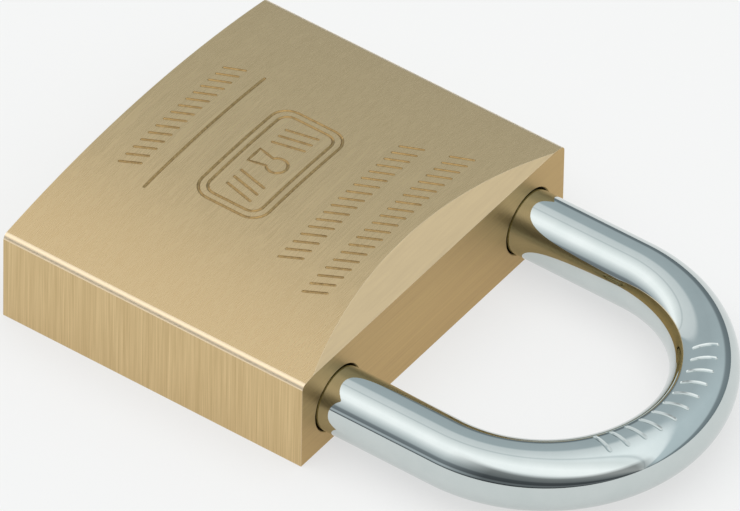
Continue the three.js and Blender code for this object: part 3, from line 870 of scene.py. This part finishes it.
def make_floor():
    """A plain pale table top under the lock, which glows a little so that shadows stay faint."""
    bm = bmesh.new()
    bmesh.ops.create_grid(bm, x_segments=1, y_segments=1, size=4)
    finish, tree = new_finish("pale_table")
    surface = add(tree, "ShaderNodeBsdfPrincipled", {
        "Base Color": linear("#8C8C8B"), "Roughness": 0.8, "Specular IOR Level": 0.1,
        "Emission Color": linear("#FFFFFF"), "Emission Strength": 0.6})
    add(tree, "ShaderNodeOutputMaterial", {"Surface": surface.outputs["BSDF"]})
    as_object("floor", bm, (finish,))


# The tent, by the parts of a unit direction: X towards the crown, Y to the far side, Z up. A pair
# is where a change begins and where it ends.
TENT_STRENGTH = 1.5
FAR_SIDE = (-0.05, 0.15)  # in Y
CROWN_END = (-0.3, 0.4)  # in X, on the far side
CROWN_EXTRA = 0.5
NEAR_CROWN = (-0.3, 0.1)  # in X, on the near side
OPENING_SLANT = 0.35  # of X, added to Z
OPENING_TOP = (0.70, 0.82)
OPENING_LEVEL = 0.32


def make_world():
    """A studio tent: a bright soft panel overhead, grey walls, and a dark gap at the horizon.

    The tone follows the angle about the X axis: halfway is straight up, a quarter is level towards
    +Y, and three quarters is level towards -Y. Towards the crown the tent is brighter on the far
    side, and on the near side it has a dim opening up to about half its height.
    """
    world = bpy.data.worlds.new("studio_tent")
    world.use_nodes = True
    tree = world.node_tree
    tree.nodes.clear()
    way = add(tree, "ShaderNodeTexCoord").outputs["Generated"]
    part = add(tree, "ShaderNodeSeparateXYZ", {"Vector": way})
    turn = add(tree, "ShaderNodeMath", {0: part.outputs["Y"], 1: part.outputs["Z"]},
               operation="ARCTAN2")
    share = add(tree, "ShaderNodeMapRange", {"Value": turn.outputs["Value"],
                                             "From Min": HALF_TURN, "From Max": -HALF_TURN})
    panel = add(tree, "ShaderNodeValToRGB", {"Fac": share.outputs["Result"]}, stops=[
        (0.250, "#5F676B"),
        (0.290, "#6C7478"),
        (0.305, "#9AA3A7"),
        (0.405, "#A0A9AD"),
        (0.420, "#C6CACC"),
        (0.475, "#CFD2D3"),
        (0.482, "#B4B9BB"),
        (0.490, "#D4D7D8"),
        (0.515, "#E2E4E4"),
        (0.560, "#FAFAFA"),
        (0.600, "#F6F6F6"),
        (0.625, "#DCDEDF"),
        (0.665, "#B2B7B9"),
        (0.678, "#A9AEB1"),
        (0.690, "#757B7F"),
        (0.715, "#6B7074"),
        (0.725, "#A6ACB0"),
        (0.735, "#A0A6AA"),
        (0.745, "#4C5154"),
    ])
    far_side = add(tree, "ShaderNodeMapRange", {
        "Value": part.outputs["Y"], "From Min": FAR_SIDE[0], "From Max": FAR_SIDE[1]})
    crown_end = add(tree, "ShaderNodeMapRange", {
        "Value": part.outputs["X"], "From Min": CROWN_END[0], "From Max": CROWN_END[1],
        "To Max": CROWN_EXTRA})
    strength = add(tree, "ShaderNodeMath", {
        0: far_side.outputs["Result"], 1: crown_end.outputs["Result"], 2: TENT_STRENGTH},
        operation="MULTIPLY_ADD")
    height = add(tree, "ShaderNodeMath", {
        0: part.outputs["X"], 1: OPENING_SLANT, 2: part.outputs["Z"]}, operation="MULTIPLY_ADD")
    opening = add(tree, "ShaderNodeMapRange", {
        "Value": height.outputs["Value"], "From Min": OPENING_TOP[0], "From Max": OPENING_TOP[1],
        "To Min": OPENING_LEVEL})
    near_crown = add(tree, "ShaderNodeMapRange", {
        "Value": part.outputs["X"], "From Min": NEAR_CROWN[0], "From Max": NEAR_CROWN[1]})
    near_side = add(tree, "ShaderNodeMath", {0: 1.0, 1: far_side.outputs["Result"]},
                    operation="SUBTRACT")
    in_opening = add(tree, "ShaderNodeMath", {
        0: near_crown.outputs["Result"], 1: near_side.outputs["Value"]}, operation="MULTIPLY")
    dimming = add(tree, "ShaderNodeMix", {
        "Factor": in_opening.outputs["Value"], "A": 1.0, "B": opening.outputs["Result"]},
        data_type="FLOAT")
    level = add(tree, "ShaderNodeMath", {
        0: strength.outputs["Value"], 1: output(dimming, "Result")}, operation="MULTIPLY")
    glow = add(tree, "ShaderNodeBackground", {
        "Color": panel.outputs["Color"], "Strength": level.outputs["Value"]})
    add(tree, "ShaderNodeOutputWorld", {"Surface": glow.outputs["Background"]})
    bpy.context.scene.world = world


def make_lights():
    """One broad lamp that lifts the table towards white, and that the metal doesn't reflect."""
    lamp = bpy.data.lights.new("table_lamp", "AREA")
    lamp.shape = "DISK"
    lamp.size = 1.6
    lamp.energy = 6
    light = bpy.data.objects.new("table_lamp", lamp)
    light.location = (-0.1, -0.1, 1.2)
    light.visible_glossy = False
    bpy.context.scene.collection.objects.link(light)


def make_camera():
    """Looks down on the near long side and the shackle end, from far off with a long lens."""
    azimuth, elevation, roll = math.radians(35.29), math.radians(42.61), math.radians(1.13)
    distance = 2.117
    aim = Vector((-13.5, 9.6, -2.1)) * MM
    back = Vector((math.sin(azimuth) * math.cos(elevation),
                   -math.cos(azimuth) * math.cos(elevation), math.sin(elevation)))
    camera = bpy.data.cameras.new("camera")
    camera.lens = 911.6
    camera.sensor_width = 36
    camera.clip_start = 0.1
    camera.clip_end = 20
    viewer = bpy.data.objects.new("camera", camera)
    viewer.location = aim + back * distance
    level = (-back).to_track_quat("-Z", "Y")
    viewer.rotation_euler = (level.to_matrix() @ Matrix.Rotation(roll, 3, "Z")).to_euler()
    bpy.context.scene.collection.objects.link(viewer)
    bpy.context.scene.camera = viewer


make_floor()
make_world()
make_lights()
make_camera()
bpy.context.scene.view_settings.view_transform = "Standard"
